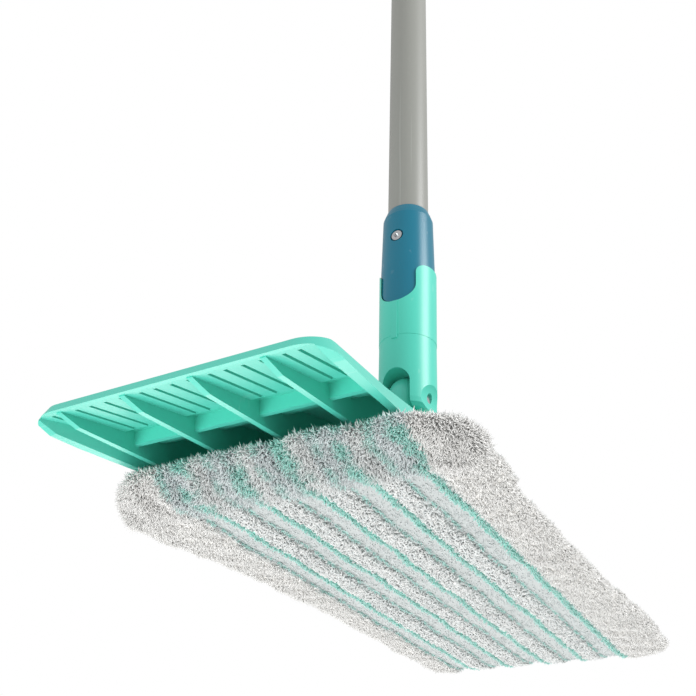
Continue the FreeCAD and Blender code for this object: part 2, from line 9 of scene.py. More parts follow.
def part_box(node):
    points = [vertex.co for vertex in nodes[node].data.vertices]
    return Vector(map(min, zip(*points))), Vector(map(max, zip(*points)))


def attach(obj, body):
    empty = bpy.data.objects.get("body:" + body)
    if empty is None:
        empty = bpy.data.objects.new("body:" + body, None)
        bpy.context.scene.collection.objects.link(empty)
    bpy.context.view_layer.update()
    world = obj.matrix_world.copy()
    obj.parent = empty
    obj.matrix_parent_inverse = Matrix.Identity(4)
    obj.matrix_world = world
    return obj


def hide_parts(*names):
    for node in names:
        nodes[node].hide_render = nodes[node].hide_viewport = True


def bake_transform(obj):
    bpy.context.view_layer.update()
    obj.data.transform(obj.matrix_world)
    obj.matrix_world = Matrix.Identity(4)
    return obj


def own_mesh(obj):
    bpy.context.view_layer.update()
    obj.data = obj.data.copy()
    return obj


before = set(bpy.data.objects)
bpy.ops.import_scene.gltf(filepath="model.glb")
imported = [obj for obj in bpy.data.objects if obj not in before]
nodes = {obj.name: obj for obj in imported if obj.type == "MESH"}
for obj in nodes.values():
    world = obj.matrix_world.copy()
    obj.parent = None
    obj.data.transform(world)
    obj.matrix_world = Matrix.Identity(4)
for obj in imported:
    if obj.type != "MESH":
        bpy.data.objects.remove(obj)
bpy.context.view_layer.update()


# ---- Handle tube -------------------------------------------------------------------------------
# Drawn steel tube with a satin grey powder coat. It is slid into the blue sleeve at the bottom
# and closed by the grip and cap at the top.

class Wire:
    """A shader socket. Arithmetic on it adds Math nodes to its material."""

    def __init__(self, tree, socket):
        self.tree = tree
        self.socket = socket

    def join(self, operation, *values):
        made = self.tree.nodes.new("ShaderNodeMath")
        made.operation = operation
        for slot, value in zip(made.inputs, values):
            if isinstance(value, Wire):
                self.tree.links.new(value.socket, slot)
            else:
                slot.default_value = value
        return Wire(self.tree, made.outputs[0])

    def sine(self):
        return self.join("SINE", self)

    def __add__(self, other):
        return self.join("ADD", self, other)

    def __mul__(self, other):
        return self.join("MULTIPLY", self, other)

    __radd__ = __add__
    __rmul__ = __mul__


class Finish:
    """A material. node() adds any node by type, settings and socket values, and returns a Wire."""

    def __init__(self, name, **constants):
        self.material = bpy.data.materials.new(name)
        self.material.use_nodes = True
        self.tree = self.material.node_tree
        self.surface = self.tree.nodes["Principled BSDF"]
        self.wear(**constants)

    def node(self, kind, settings=None, sockets=None, out=0):
        made = self.tree.nodes.new("ShaderNode" + kind)
        for key, value in (settings or {}).items():
            setattr(made, key, value)
        self.feed(made, sockets or {})
        return Wire(self.tree, made.outputs[out])

    def feed(self, made, sockets):
        for key, value in sockets.items():
            if isinstance(value, Wire):
                self.tree.links.new(value.socket, made.inputs[key])
            else:
                made.inputs[key].default_value = value

    def mix(self, amount, first, second):
        """One colour turned into another by an amount from 0 to 1."""
        return self.node("Mix", {"data_type": "RGBA"}, {0: amount, 6: first, 7: second}, 2)

    def noise(self, scale, detail=3.0, stretch=(1, 1, 1)):
        """Even noise from 0 to 1 in the piece's own metres; stretch squeezes it along an axis."""
        place = self.node("TexCoord", out=3)
        spread = self.node("Mapping", sockets={"Vector": place, "Scale": stretch})
        return self.node("TexNoise", sockets={"Vector": spread, "Scale": scale, "Detail": detail})

    def steps(self, value, low, high):
        """Turns a value into 0 below low and 1 above high, smoothly between them."""
        wanted = {"Value": value, "From Min": low, "From Max": high}
        return self.node("MapRange", {"interpolation_type": "SMOOTHSTEP"}, wanted)

    def bumps(self, height, distance, strength):
        """Surface relief whose full height is a distance in metres."""
        return self.node("Bump", sockets={"Height": height, "Distance": distance, "Strength": strength})

    def wear(self, **changes):
        self.feed(self.surface, {key.replace("_", " "): value for key, value in changes.items()})


def rgb(red, green, blue):
    """A colour as a shader takes it, from the 0 to 255 values of a colour chart."""
    parts = np.array([red, green, blue]) / 255.0
    linear = np.where(parts > 0.04045, ((parts + 0.055) / 1.055) ** 2.4, parts / 12.92)
    return (*linear.tolist(), 1.0)


def dress(finish, *names):
    """Puts a finish on CAD nodes."""
    for name in names:
        slots = nodes[name].data.materials
        slots.clear()
        slots.append(finish.material)


def powder_coat():
    """Satin paint: fine orange peel, faint long clouds and a few hair scratches down the tube."""
    coat = Finish("tube_paint", IOR=1.5)
    peel = coat.noise(700.0, 2.0)
    cloud = coat.noise(9.0, 2.0, (1, 1, 0.15))
    hair = coat.steps(coat.noise(500.0, 2.0, (1, 1, 0.012)), 0.66, 0.72)
    paint = coat.mix(cloud, rgb(136, 137, 132), rgb(143, 144, 139))
    coat.wear(
        Base_Color=coat.mix(hair * 0.25, paint, rgb(178, 180, 176)),
        Roughness=0.34 + 0.10 * peel + 0.06 * hair,
        Normal=coat.bumps(peel, 0.00003, 0.5),
    )
    return coat


dress(powder_coat(), "pole_tube")


# ---- Click spigot, sleeve and button -----------------------------------------------------------
# Injection-moulded polypropylene. The blue sleeve is screwed to the tube over the dark spigot,
# whose button clicks into the socket of the head.

def moulded(name, light, dark, gloss, scuff=(1.0, 1.0, 1.0, 1.0)):
    """Moulded plastic: flow clouds in the colour, a fine satin grain and sparse pale rub marks."""
    plastic = Finish(name, IOR=1.48)
    cloud = plastic.noise(22.0, 3.0)
    grain = plastic.noise(2400.0, 2.0)
    rubs = plastic.steps(plastic.noise(420.0, 2.0, (1, 0.06, 0.25)), 0.68, 0.78)
    plastic.wear(
        Base_Color=plastic.mix(rubs * 0.10, plastic.mix(cloud, dark, light), scuff),
        Roughness=gloss + 0.07 * grain + 0.10 * rubs,
        Normal=plastic.bumps(grain, 0.000018, 0.45),
    )
    return plastic


petrol = moulded("blue_plastic", rgb(12, 113, 138), rgb(9, 104, 128), 0.30)
dress(petrol, "click_sleeve", "release_button")
dress(moulded("core_plastic", rgb(62, 66, 68), rgb(52, 56, 58), 0.4), "click_spigot")


# ---- Grip and hanging cap ----------------------------------------------------------------------
# Soft-touch grip pushed over the top of the tube, with a hard cap and its hanging eye.

dress(moulded("grip_plastic", rgb(34, 108, 130), rgb(28, 98, 120), 0.55), "hand_grip")
dress(petrol, "hanging_cap")


# ---- Socket, joint block and hub ---------------------------------------------------------------
# Mint polypropylene. The socket takes the handle, and the block and the two pins let it lean
# along and across the plate; the hub joins the two wings.

mint = moulded("mint_plastic", rgb(84, 204, 184), rgb(76, 197, 177), 0.33)
dress(mint, "socket_shell", "joint_block", "hub_saddle")
dress(petrol, "lock_pedal")


# ---- Wings of the plate ------------------------------------------------------------------------
# Same mint polypropylene, moulded open below with deep ribs; each wing is hinged to the hub.

dress(mint, "near_wing", "far_wing")


# ---- Screw, pins, magnets and keepers ----------------------------------------------------------
# Bright zinc-plated steel for the screw, pins and keepers, nickel for the two disc magnets.

def plated(name, light, dark, rough):
    """Plated metal with a faint drawn grain and small dull spots."""
    metal = Finish(name, Metallic=1.0)
    grain = metal.noise(1500.0, 2.0, (1, 1, 0.1))
    spots = metal.steps(metal.noise(260.0, 2.0), 0.6, 0.75)
    metal.wear(
        Base_Color=metal.mix(spots * 0.6, light, dark),
        Roughness=rough + 0.10 * grain + 0.15 * spots,
        Normal=metal.bumps(grain, 0.00001, 0.4),
    )
    return metal


zinc = plated("steel", rgb(208, 210, 212), rgb(160, 163, 166), 0.16)
dress(zinc, "sleeve_screw", "upper_pin", "lower_pin", "near_wing_pins", "far_wing_pins", "pedal_pin",
      "magnet_keepers")
dress(plated("magnet", rgb(190, 192, 196), rgb(150, 152, 158), 0.22), "hub_magnets")


# ---- Pedal spring ------------------------------------------------------------------------------
# Coil of steel wire standing on the hub under the pedal, which flattens it when it is pressed.

def lay_mesh(name, points, quads=(), tris=(), **marks):
    """A smooth mesh from arrays of points, four-sided and three-sided faces; marks are values per
    point."""
    mesh = bpy.data.meshes.new(name)
    mesh.vertices.add(len(points))
    mesh.vertices.foreach_set("co", np.asarray(points, np.float32).ravel())
    corners = np.concatenate([np.asarray(quads, int).ravel(), np.asarray(tris, int).ravel()])
    sizes = np.concatenate([np.full(len(quads), 4), np.full(len(tris), 3)])
    mesh.loops.add(len(corners))
    mesh.loops.foreach_set("vertex_index", corners.astype(np.int32))
    mesh.polygons.add(len(sizes))
    mesh.polygons.foreach_set("loop_start", (np.cumsum(sizes) - sizes).astype(np.int32))
    mesh.polygons.foreach_set("use_smooth", np.ones(len(sizes), bool))
    for mark, values in marks.items():
        layer = mesh.attributes.new(mark, "FLOAT", "POINT")
        layer.data.foreach_set("value", np.asarray(values, np.float32))
    mesh.update(calc_edges=True)
    made = bpy.data.objects.new(name, mesh)
    bpy.context.scene.collection.objects.link(made)
    return made


def tube_along(path, radius, sides):
    """Points and faces of a round closed tube: rings square to the path, with a centre point at
    each end. The frame of each ring comes from the path's direction and one fixed axis."""
    ahead = np.gradient(path, axis=0)
    ahead /= np.linalg.norm(ahead, axis=1, keepdims=True)
    side = np.cross(ahead, [0.0, 0.0, 1.0])
    side /= np.linalg.norm(side, axis=1, keepdims=True)
    over = np.cross(side, ahead)
    turn = np.linspace(0, 2 * math.pi, sides, endpoint=False)
    ring = path[:, None] + radius * (np.cos(turn)[None, :, None] * side[:, None]
                                     + np.sin(turn)[None, :, None] * over[:, None])
    points = np.concatenate([ring.reshape(-1, 3), path[:1], path[-1:]])
    count = len(path)
    i, j = np.meshgrid(np.arange(count - 1), np.arange(sides), indexing="ij")
    k = (j + 1) % sides
    quads = np.stack([i * sides + j, (i + 1) * sides + j, (i + 1) * sides + k, i * sides + k], -1)
    j = np.arange(sides)
    k = (j + 1) % sides
    start = np.stack([np.full(sides, count * sides), j, k], -1)
    end = np.stack([np.full(sides, count * sides + 1), (count - 1) * sides + k, (count - 1) * sides + j], -1)
    return points, quads.reshape(-1, 4), np.concatenate([start, end])


SPRING_WIRE = 0.00035
SPRING_TURNS = 5.5
low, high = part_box("pedal_spring")
turn = np.linspace(0, SPRING_TURNS * 2 * math.pi, 220)
FLAT_END = 5.5  # radians of turn that lie flat at each end
rise = np.clip((turn - FLAT_END) / (turn[-1] - 2 * FLAT_END), 0, 1)
coil_r = (high[0] - low[0]) / 2 - SPRING_WIRE
path = np.stack([
    (low[0] + high[0]) / 2 + coil_r * np.cos(turn),
    (low[1] + high[1]) / 2 + coil_r * np.sin(turn),
    low[2] + SPRING_WIRE + rise * (high[2] - low[2] - 2 * SPRING_WIRE),
], 1)
coil = lay_mesh("pedal_coil", *tube_along(path, SPRING_WIRE, 8))
coil.data.materials.append(zinc.material)
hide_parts("pedal_spring")
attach(coil, "hub")
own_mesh(coil)


# ---- Microfibre pad ----------------------------------------------------------------------------
# One piece of warp-knitted microfibre with its pile on the sole: turquoise stripes, flat and looped
# bands, plush borders and a thick fluffy roll at the near end. Its pocket holds it at the far end.
# EDGE_AT and the two edges give its outline.

EDGE_AT = (-0.1315, -0.120, -0.110, -0.097, -0.081, -0.0745, -0.0725, -0.071, -0.062, -0.044, 0.0,
           0.060, 0.100, 0.140, 0.1715)
LOW_EDGE = (-0.0780, -0.0815, -0.0822, -0.0812, -0.0795, -0.0790, -0.0768, -0.0764, -0.0762, -0.0755,
            -0.0742, -0.0732, -0.0750, -0.0730, -0.0710)
HIGH_EDGE = (0.0535, 0.0597, 0.0650, 0.0672, 0.0668, 0.0660, 0.0657, 0.0652, 0.0632, 0.0606, 0.0598,
             0.0598, 0.0618, 0.0636, 0.0626)
PAD_ENDS = {"near": -0.1294, "far": 0.1700}
PAD_LENGTH = 0.301
STRIPE_SKEW = 0.050
STRIPE_PITCH = 0.0214
FIELD_LOW = -0.0462
FIELD_HIGH = 0.0540


def wander(x, y, seed, size):
    """Smooth field from about -1 to 1: six sine waves in random directions, about one size long."""
    rng = np.random.default_rng(seed)
    angle, phase, pitch = rng.uniform(0, 3.1, 6), rng.uniform(0, 6.3, 6), rng.uniform(0.7, 1.5, 6)
    step = x[..., None] * np.cos(angle) + y[..., None] * np.sin(angle)
    return np.sin(6.283 * step / (size * pitch) + phase).sum(-1) / 3.2


def eased(value, start, end):
    """0 before start, 1 after end and a smooth S between them."""
    s = np.clip((value - start) / (end - start), 0, 1)
    return s * s * (3 - 2 * s)


def across_stripes(x, y):
    """Distance square to the stripes, which run a little askew to the plate."""
    return y + 0.0120 - STRIPE_SKEW * x


def bands(x, y):
    """Shares from 0 to 1 of bold stripe, thin stripe, looped band and plush border at a place.
    The first three repeat across the field at the stripe pitch: bold at 0, flat band, thin at
    0.46, loops from 0.52 to 0.92. The field's sides are plush."""
    y = across_stripes(x, y)
    place = (y + 0.00045 * wander(x, y, 3, 0.035) + 0.0003 * wander(x, y, 4, 0.008)) / STRIPE_PITCH
    phase = place - np.floor(place)
    field = eased(y, FIELD_LOW, FIELD_LOW + 0.001) * eased(-y, -FIELD_HIGH, -FIELD_HIGH + 0.001)
    edge = np.minimum(phase, 1 - phase)
    bold = eased(-edge, -0.076, -0.052) * field * (y < 0.050)
    thin = eased(-np.abs(phase - 0.46), -0.030, -0.014) * field * (y > -0.041)
    thin = thin * eased(wander(x, y, 6, 0.004), -0.55, 0.05)
    looped = eased(phase, 0.50, 0.56) * eased(-phase, -0.94, -0.88) * field * (y > -0.041)
    return bold, thin, looped, 1 - field


def pad_levels(x, y):
    """Height of the sole and of the back of the pad: flat in the middle, lifted and swollen into
    a roll at the near end, thinner at the far hem."""
    roll = eased(-x, 0.100, 0.120)
    lift = 0.0075 * np.clip((-0.106 - x) / 0.0245, 0, 1) ** 1.4
    hem = eased(x, 0.150, 0.168)
    sole = 0.0018 + lift + 0.0015 * hem + 0.0004 * wander(x, y, 5, 0.030)
    back = 0.0078 + roll * (0.0012 + 0.010 * np.minimum(y, 0.05)) - 0.0022 * hem
    return sole, back


def pad_half(end):
    """Points and triangles of half the pad, from its middle to one end. Rows run to the end and
    columns across; both crowd into a quarter circle at an edge, where the sole and the back
    meet. Stripes, loops and lumps stand out of the sole by about a millimetre."""
    reach = PAD_ENDS[end]
    curl = 0.0065
    arc = np.linspace(0, math.pi / 2, 8)
    gap = curl * (1 - np.cos(arc))
    rows = np.concatenate([np.linspace(0, abs(reach) - curl, 110)[:-1], (abs(reach) - gap)[::-1]])
    row_swell = np.concatenate([np.ones(109), np.sin(arc)[::-1]])
    cols = np.concatenate([np.zeros(8), np.linspace(0, 1, 152)[1:-1], np.ones(8)])
    col_gap = np.concatenate([gap, np.full(150, curl), gap[::-1]])
    col_swell = np.concatenate([np.sin(arc), np.ones(150), np.sin(arc)[::-1]])
    turned = 0.017
    from_low = col_gap + cols * 0.125
    from_side = np.clip(np.minimum(from_low, from_low[::-1]), 0, turned)
    cut = turned - np.sqrt(turned ** 2 - (turned - from_side) ** 2)
    share = eased(rows, abs(reach) - 0.04, abs(reach))
    x = np.sign(reach) * (rows[:, None] - share[:, None] * cut[None, :])
    fray = 0.0007 * wander(x, x * 0, 7, 0.020) + 0.0004 * wander(x, x * 0, 8, 0.006)
    low = np.interp(x, EDGE_AT, LOW_EDGE) + fray
    high = np.interp(x, EDGE_AT, HIGH_EDGE) - fray[::-1]
    side = np.where(cols > 0.5, high - col_gap, low + col_gap)
    middle = low + curl + cols * (high - low - 2 * curl)
    y = np.where((cols > 0) & (cols < 1), middle, side)
    if end == "near":
        x = x - 0.0012 * wander(y, y * 0, 9, 0.022) * share[:, None]
    swell = row_swell[:, None] * col_swell[None, :]
    sole, back = pad_levels(x, y)
    bold, thin, looped, plush = bands(x, y)
    roll = eased(-x, 0.100, 0.116)
    relief = 0.0009 * bold + 0.0004 * thin + 0.0007 * looped + 0.0010 * plush
    relief = relief * (1 - roll) + roll * (0.0012 + 0.0012 * wander(x, y, 11, 0.016))
    relief += plush * (0.0005 * wander(x, y, 12, 0.014) + 0.0003 * wander(x, y, 13, 0.005))
    mid = (sole + back) / 2
    under = mid - swell * (mid - sole + relief)
    over = mid + swell * (back - mid + 0.0012 * roll * wander(x, y, 14, 0.018))
    count = x.size
    place = np.arange(count).reshape(x.shape)
    shared = np.zeros(x.shape, bool)
    shared[-1] = shared[:, 0] = shared[:, -1] = True
    top = place.copy()
    top[~shared] = count + np.arange((~shared).sum())
    points = np.concatenate([
        np.stack([x, y, under], -1).reshape(-1, 3),
        np.stack([x, y, over], -1)[~shared],
    ])

    def cells(grid):
        return np.stack([grid[:-1, :-1], grid[1:, :-1], grid[1:, 1:], grid[:-1, 1:]], -1).reshape(-1, 4)

    wall = np.stack([place[0, :-1], place[0, 1:], top[0, 1:], top[0, :-1]], -1)
    quads = np.concatenate([cells(place), cells(top)[:, ::-1], wall])
    if end == "far":
        quads = quads[:, ::-1]
    tris = np.concatenate([quads[:, [0, 1, 2]], quads[:, [0, 2, 3]]])
    tris = tris[(tris[:, 0] != tris[:, 1]) & (tris[:, 1] != tris[:, 2]) & (tris[:, 0] != tris[:, 2])]
    return points, tris


def scatter(points, tris, weight, count, seed):
    """Random places on triangles, with chances by area times weight, and their outward normals."""
    rng = np.random.default_rng(seed)
    a, b, c = (points[tris[:, k]] for k in range(3))
    normal = np.cross(b - a, c - a)
    area = np.linalg.norm(normal, axis=1)
    chance = np.cumsum(area * weight)
    pick = np.searchsorted(chance, rng.uniform(0, chance[-1], count))
    s, t = rng.uniform(0, 1, (2, count, 1))
    flip = s + t > 1
    s, t = np.where(flip, 1 - s, s), np.where(flip, 1 - t, t)
    spot = a[pick] + s * (b - a)[pick] + t * (c - a)[pick]
    return spot, normal[pick] / area[pick, None], rng


def strands(spot, normal, length, width, lean, rng):
    """Pointed strands of pile: a three-sided base ring sunk in the cloth, a middle ring and a tip,
    each leaning away from the normal by a random share and drooping a little."""
    count = len(spot)
    drift = rng.normal(0, 1, (count, 3)) * lean[:, None]
    ahead = normal + drift
    ahead /= np.linalg.norm(ahead, axis=1, keepdims=True)
    bend = ahead + rng.normal(0, 1, (count, 3)) * 0.35
    bend /= np.linalg.norm(bend, axis=1, keepdims=True)
    side = np.cross(ahead, rng.normal(0, 1, (count, 3)))
    side /= np.linalg.norm(side, axis=1, keepdims=True)
    over = np.cross(ahead, side)
    reach = length[:, None]
    root = spot - normal * 0.0004
    elbow = spot + ahead * reach * 0.55
    tip = elbow + bend * reach * 0.45
    turn = np.arange(3) * 2 * math.pi / 3
    around = (np.cos(turn)[None, :, None] * side[:, None] + np.sin(turn)[None, :, None] * over[:, None])
    ring = root[:, None] + around * width[:, None, None]
    belt = elbow[:, None] + around * width[:, None, None] * 0.85
    points = np.concatenate([ring, belt, tip[:, None]], 1)
    j = np.arange(3)
    k = (j + 1) % 3
    quads = np.stack([j, k, k + 3, j + 3], -1)
    tris = np.concatenate([np.stack([j + 3, k + 3, np.full(3, 6)], -1), [[2, 1, 0]]])
    start = (np.arange(count) * 7)[:, None, None]
    return points.reshape(-1, 3), (quads + start).reshape(-1, 4), (tris + start).reshape(-1, 3)


def loops(spot, normal, height, width, rng):
    """Closed pile loops: a three-sided tube over half a turn, with both feet sunk in the cloth."""
    count = len(spot)
    side = np.cross(normal, rng.normal(0, 1, (count, 3)))
    side /= np.linalg.norm(side, axis=1, keepdims=True)
    out = normal + rng.normal(0, 0.3, (count, 3))
    out /= np.linalg.norm(out, axis=1, keepdims=True)
    flat = np.cross(side, out)
    arch = np.linspace(-0.25, math.pi + 0.25, 5)
    rise = np.sin(arch)[None, :, None] * height[:, None, None]
    run = np.cos(arch)[None, :, None] * height[:, None, None] * 0.6
    centre = spot[:, None] + out[:, None] * rise + side[:, None] * run
    spoke = out[:, None] * np.sin(arch)[None, :, None] + side[:, None] * np.cos(arch)[None, :, None]
    turn = np.arange(3) * 2 * math.pi / 3
    ring = centre[:, :, None] + width[:, None, None, None] * (
        np.cos(turn)[None, None, :, None] * spoke[:, :, None]
        + np.sin(turn)[None, None, :, None] * flat[:, None, None])
    i, j = np.meshgrid(np.arange(4), np.arange(3), indexing="ij")
    k = (j + 1) % 3
    quads = np.stack([i * 3 + j, (i + 1) * 3 + j, (i + 1) * 3 + k, i * 3 + k], -1).reshape(-1, 4)
    tris = np.array([[0, 1, 2], [14, 13, 12]])
    start = (np.arange(count) * 15)[:, None, None]
    return ring.reshape(-1, 3), (quads + start).reshape(-1, 4), (tris + start).reshape(-1, 3)


def pile_share(x, y, z):
    """Share from 0 to 1 of each kind of pile at a place: bold, thin, looped, plush, roll, flat.
    The back of the pad is bare but for its sides and the roll."""
    bold, thin, looped, plush = bands(x, y)
    roll = eased(-x, 0.101, 0.108)
    sole, back = pad_levels(x, y)
    edge = np.minimum(y - np.interp(x, EDGE_AT, LOW_EDGE), np.interp(x, EDGE_AT, HIGH_EDGE) - y)
    end = np.minimum(x - PAD_ENDS["near"], PAD_ENDS["far"] - x)
    bare = (z > (sole + back) / 2 + 0.0012) & (edge > 0.003) & (end > 0.020)
    keep = np.where(bare, 0.0, 1.0)
    return (bold * (1 - roll) * keep, thin * (1 - roll) * keep, looped * (1 - roll) * keep,
            plush * (1 - roll) * keep, roll * keep,
            np.clip(1 - bold - thin - looped - plush, 0, 1) * (1 - roll) * keep)


def teal_share(x, y, rng=None):
    """Share of turquoise yarn: the stripes, a broken halo beside them, and on the roll ragged
    clumps that follow the stripes up and round."""
    bold, thin, looped, plush = bands(x, y)
    roll = eased(-x, 0.103, 0.112)
    y = across_stripes(x, y)
    place = (y + 0.0022 * wander(x, y, 21, 0.020) * roll) / STRIPE_PITCH
    phase = place - np.floor(place)
    edge = np.minimum(phase, 1 - phase)
    field = (y > FIELD_LOW) & (y < FIELD_HIGH)
    clump = eased(wander(x, y, 22, 0.011), -0.70, 0.10)
    on_roll = eased(-edge, -0.27, -0.07) * clump + 0.7 * eased(-np.abs(phase - 0.46), -0.13, -0.03) * clump
    return np.clip((bold + 0.85 * thin) * (1 - roll) + on_roll * roll * field, 0, 1)


def microfibre(name):
    """Pile yarn: white with turquoise by its teal mark. A second mark holds the yarn's own tone and
    painted shade at the roots and under the pile, and painted highlight at the tips; a fine knitted
    fleck gives roughness and relief."""
    cloth = Finish(name, IOR=1.4, Sheen_Weight=0.25, Sheen_Roughness=0.5)
    cloth.wear(Subsurface_Weight=0.6, Subsurface_Scale=0.0015, Subsurface_Radius=(1, 1, 1))
    teal = cloth.node("Attribute", {"attribute_name": "teal"}, out=2)
    tone = cloth.node("Attribute", {"attribute_name": "tone"}, out=2)
    rosy = cloth.node("Attribute", {"attribute_name": "rosy"}, out=2)
    fleck = cloth.noise(1100.0, 2.0)
    white = cloth.mix(rosy, rgb(205, 216, 219), rgb(241, 239, 236))
    # Painted shade and highlight: a low second mark darkens the white towards grey and the turquoise towards
    # deep teal, and a high one lights them; the same mark also holds the yarn's own tone.
    white = cloth.mix(tone, rgb(178, 183, 183), white)
    green = cloth.mix(tone, rgb(104, 182, 168), rgb(144, 212, 199))
    cloth.wear(
        Base_Color=cloth.mix(teal, white, green),
        Roughness=0.78 + 0.15 * fleck,
        Normal=cloth.bumps(fleck, 0.0003, 0.7),
    )
    return cloth


yarn = microfibre("microfibre")
# Each kind of pile: how many strands, their length and half width in metres, and their lean.
PILE = {
    "bold": (9000, 0.0016, 0.00030, 0.50),
    "thin": (3600, 0.0012, 0.00026, 0.45),
    "plush": (34000, 0.0018, 0.00028, 0.60),
    "roll": (38000, 0.0029, 0.00029, 0.75),
    "flat": (9000, 0.0009, 0.00024, 0.70),
}
LOOP_COUNT = 12000


def pad_marks(points, base, seed, spread=0.10):
    """teal and rosy marks for yarn that stands at base; points is not used."""
    rng = np.random.default_rng(seed)
    x, y = base[:, 0], base[:, 1]
    bold, thin, looped, plush = bands(x, y)
    rosy = np.clip(0.5 * looped + plush + rng.normal(0, spread, len(x)), 0, 1)
    return teal_share(x, y), rosy


for end, body, sign in (("near", "wing_near", -1), ("far", "wing_far", 1)):
    points, tris = pad_half(end)
    x, y, z = points.T
    teal, rosy = pad_marks(points, points, 31)
    shares = pile_share(x, y, z)
    # Value of the cloth's second mark: full on the plush border, 0.75 in the field, far lower on the flat
    # bands, which is their own greyer yarn, and a little lower under the roll and the loops, which is
    # painted shade under the pile.
    tone = 0.75 - 0.70 * shares[5] + 0.25 * shares[3] - 0.10 * shares[4] - 0.05 * shares[2]
    cloth = lay_mesh(f"pad_{end}_cloth", points, tris=tris, teal=teal,
                     tone=np.clip(tone, 0, 1), rosy=rosy)
    middle = points[tris].mean(1)
    shares = dict(zip(("bold", "thin", "looped", "plush", "roll", "flat"), pile_share(*middle.T)))
    part = abs(PAD_ENDS[end]) / PAD_LENGTH
    batches = []
    for number, (kind, (total, length, width, lean)) in enumerate(PILE.items()):
        if shares[kind].max() < 0.1:
            continue
        count = int(total * (1.0 if kind == "roll" else part))
        spot, normal, rng = scatter(points, tris, shares[kind], count, 40 + number + 10 * (sign > 0))
        size = rng.uniform(0.65, 1.25, (2, count))
        made = strands(spot, normal, length * size[0], width * size[1], np.full(count, lean), rng)
        teal, rosy = pad_marks(spot, spot, 50 + number)
        # Painted shade and highlight along each strand: its root ring is darkest, its middle ring a little
        # dark and its tip brightest. light is each strand's own random tone, lower for the greyer flat yarn.
        light = np.clip(rng.normal(0.35 if kind == "flat" else 0.95, 0.12, count), 0, 1)
        root = 0.85 if kind in ("plush", "flat") else 0.6
        tone = light[:, None] * np.array([root, root, root, 0.9, 0.9, 0.9, 1.1])
        batches.append((made, np.repeat(teal, 7), tone.ravel(), np.repeat(rosy, 7)))
    count = int(LOOP_COUNT * part)
    spot, normal, rng = scatter(points, tris, shares["looped"], count, 90 + (sign > 0))
    size = rng.uniform(0.7, 1.2, (2, count))
    made = loops(spot, normal, 0.0011 * size[0], 0.00034 * size[1], rng)
    # Painted shade and highlight along each loop: dark at its two feet in the cloth and brightest at its
    # top. light is each loop's own random tone.
    light = np.clip(rng.normal(0.82, 0.18, count), 0, 1)
    arch = np.repeat(np.array([0.3, 0.85, 1.1, 0.85, 0.3]), 3)
    rosy = np.repeat(rng.uniform(0.3, 0.8, count), 15)
    batches.append((made, np.zeros(count * 15), (light[:, None] * arch).ravel(), rosy))
    start = np.cumsum([0] + [len(b[0][0]) for b in batches])
    pile = lay_mesh(
        f"pad_{end}_pile",
        np.concatenate([b[0][0] for b in batches]),
        np.concatenate([b[0][1] + s for b, s in zip(batches, start)]),
        np.concatenate([b[0][2] + s for b, s in zip(batches, start)]),
        teal=np.concatenate([b[1] for b in batches]),
        tone=np.clip(np.concatenate([b[2] for b in batches]), 0, 1),
        rosy=np.concatenate([b[3] for b in batches]),
    )
    for piece in (cloth, pile):
        piece.data.materials.append(yarn.material)
        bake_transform(piece)
    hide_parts(f"pad_{end}", "pad_middle")


# ---- Pocket ------------------------------------------------------------------------------------
# Knitted cloth sewn to the pad's far end and pulled over the tip of the far wing. Its sheet
# follows the wing's top and sides a little way off, with slack folds and a rolled hem.


POCKET_OPENING_X = 0.1265
POCKET_TIP_X = 0.1796
POCKET_LOW_Y = -0.0650
POCKET_HIGH_Y = 0.0565
POCKET_HALF = (POCKET_HIGH_Y - POCKET_LOW_Y) / 2
POCKET_CORNER = 0.0125
POCKET_FOOT_Z = 0.0080
HINGE_X = 0.0300
HINGE_Z = 0.0424
WING_TILT = math.radians(4)


def pocket_ring(share, tip=POCKET_TIP_X):
    """Points of a U round the wing's tip, from one side of the opening to the other. A share of
    0 is the cloth's edge and 1 its middle line; the sides flare and the corners are round."""
    low = POCKET_LOW_Y + POCKET_HALF * share
    high = POCKET_HIGH_Y - POCKET_HALF * share
    tip = tip - 0.040 * share
    radius = POCKET_CORNER * (1 - share)
    run = np.linspace(POCKET_OPENING_X, tip - radius, 45)
    flare = 0.0036 * np.clip((0.166 - run) / 0.044, 0, 1) * (1 - share)
    turn = np.linspace(0, math.pi / 2, 14)[1:-1]
    corner_x = tip - radius + radius * np.sin(turn)
    corner_y = radius * (1 - np.cos(turn))
    across = np.linspace(low + radius, high - radius, 60)
    x = np.concatenate([run, corner_x, across * 0 + tip, corner_x[::-1], run[::-1]])
    y = np.concatenate([low + flare, low + corner_y, across, high - corner_y[::-1], (high - flare)[::-1]])
    return x, y


def pocket_top(x, y, shares):
    """Height of the cloth over a level wing: the lower of its slopes along and across, blended
    smoothly, with slack lumps, a rounded edge and a thicker hem."""
    along = np.interp(x, (0.120, 0.139, 0.1757, 0.190), (0.0350, 0.0336, 0.0284, 0.0262))
    across = np.minimum(np.interp(y, (-0.071, -0.053, -0.035), (0.0213, 0.0343, 0.0480)),
                        np.interp(y, (0.0345, 0.0445, 0.0625), (0.0480, 0.0345, 0.0115)))
    soft = 0.0012
    top = -soft * np.log(np.exp(-along / soft) + np.exp(-across / soft)) + 0.0004
    top += 0.0004 * wander(x, y, 62, 0.022) + 0.0002 * wander(x, y, 63, 0.009)
    top -= 0.0018 * (1 - np.clip(shares[:, None] / 0.06, 0, 1)) ** 2
    return top + 0.0005 * eased(-x, -0.1318, -0.1308)


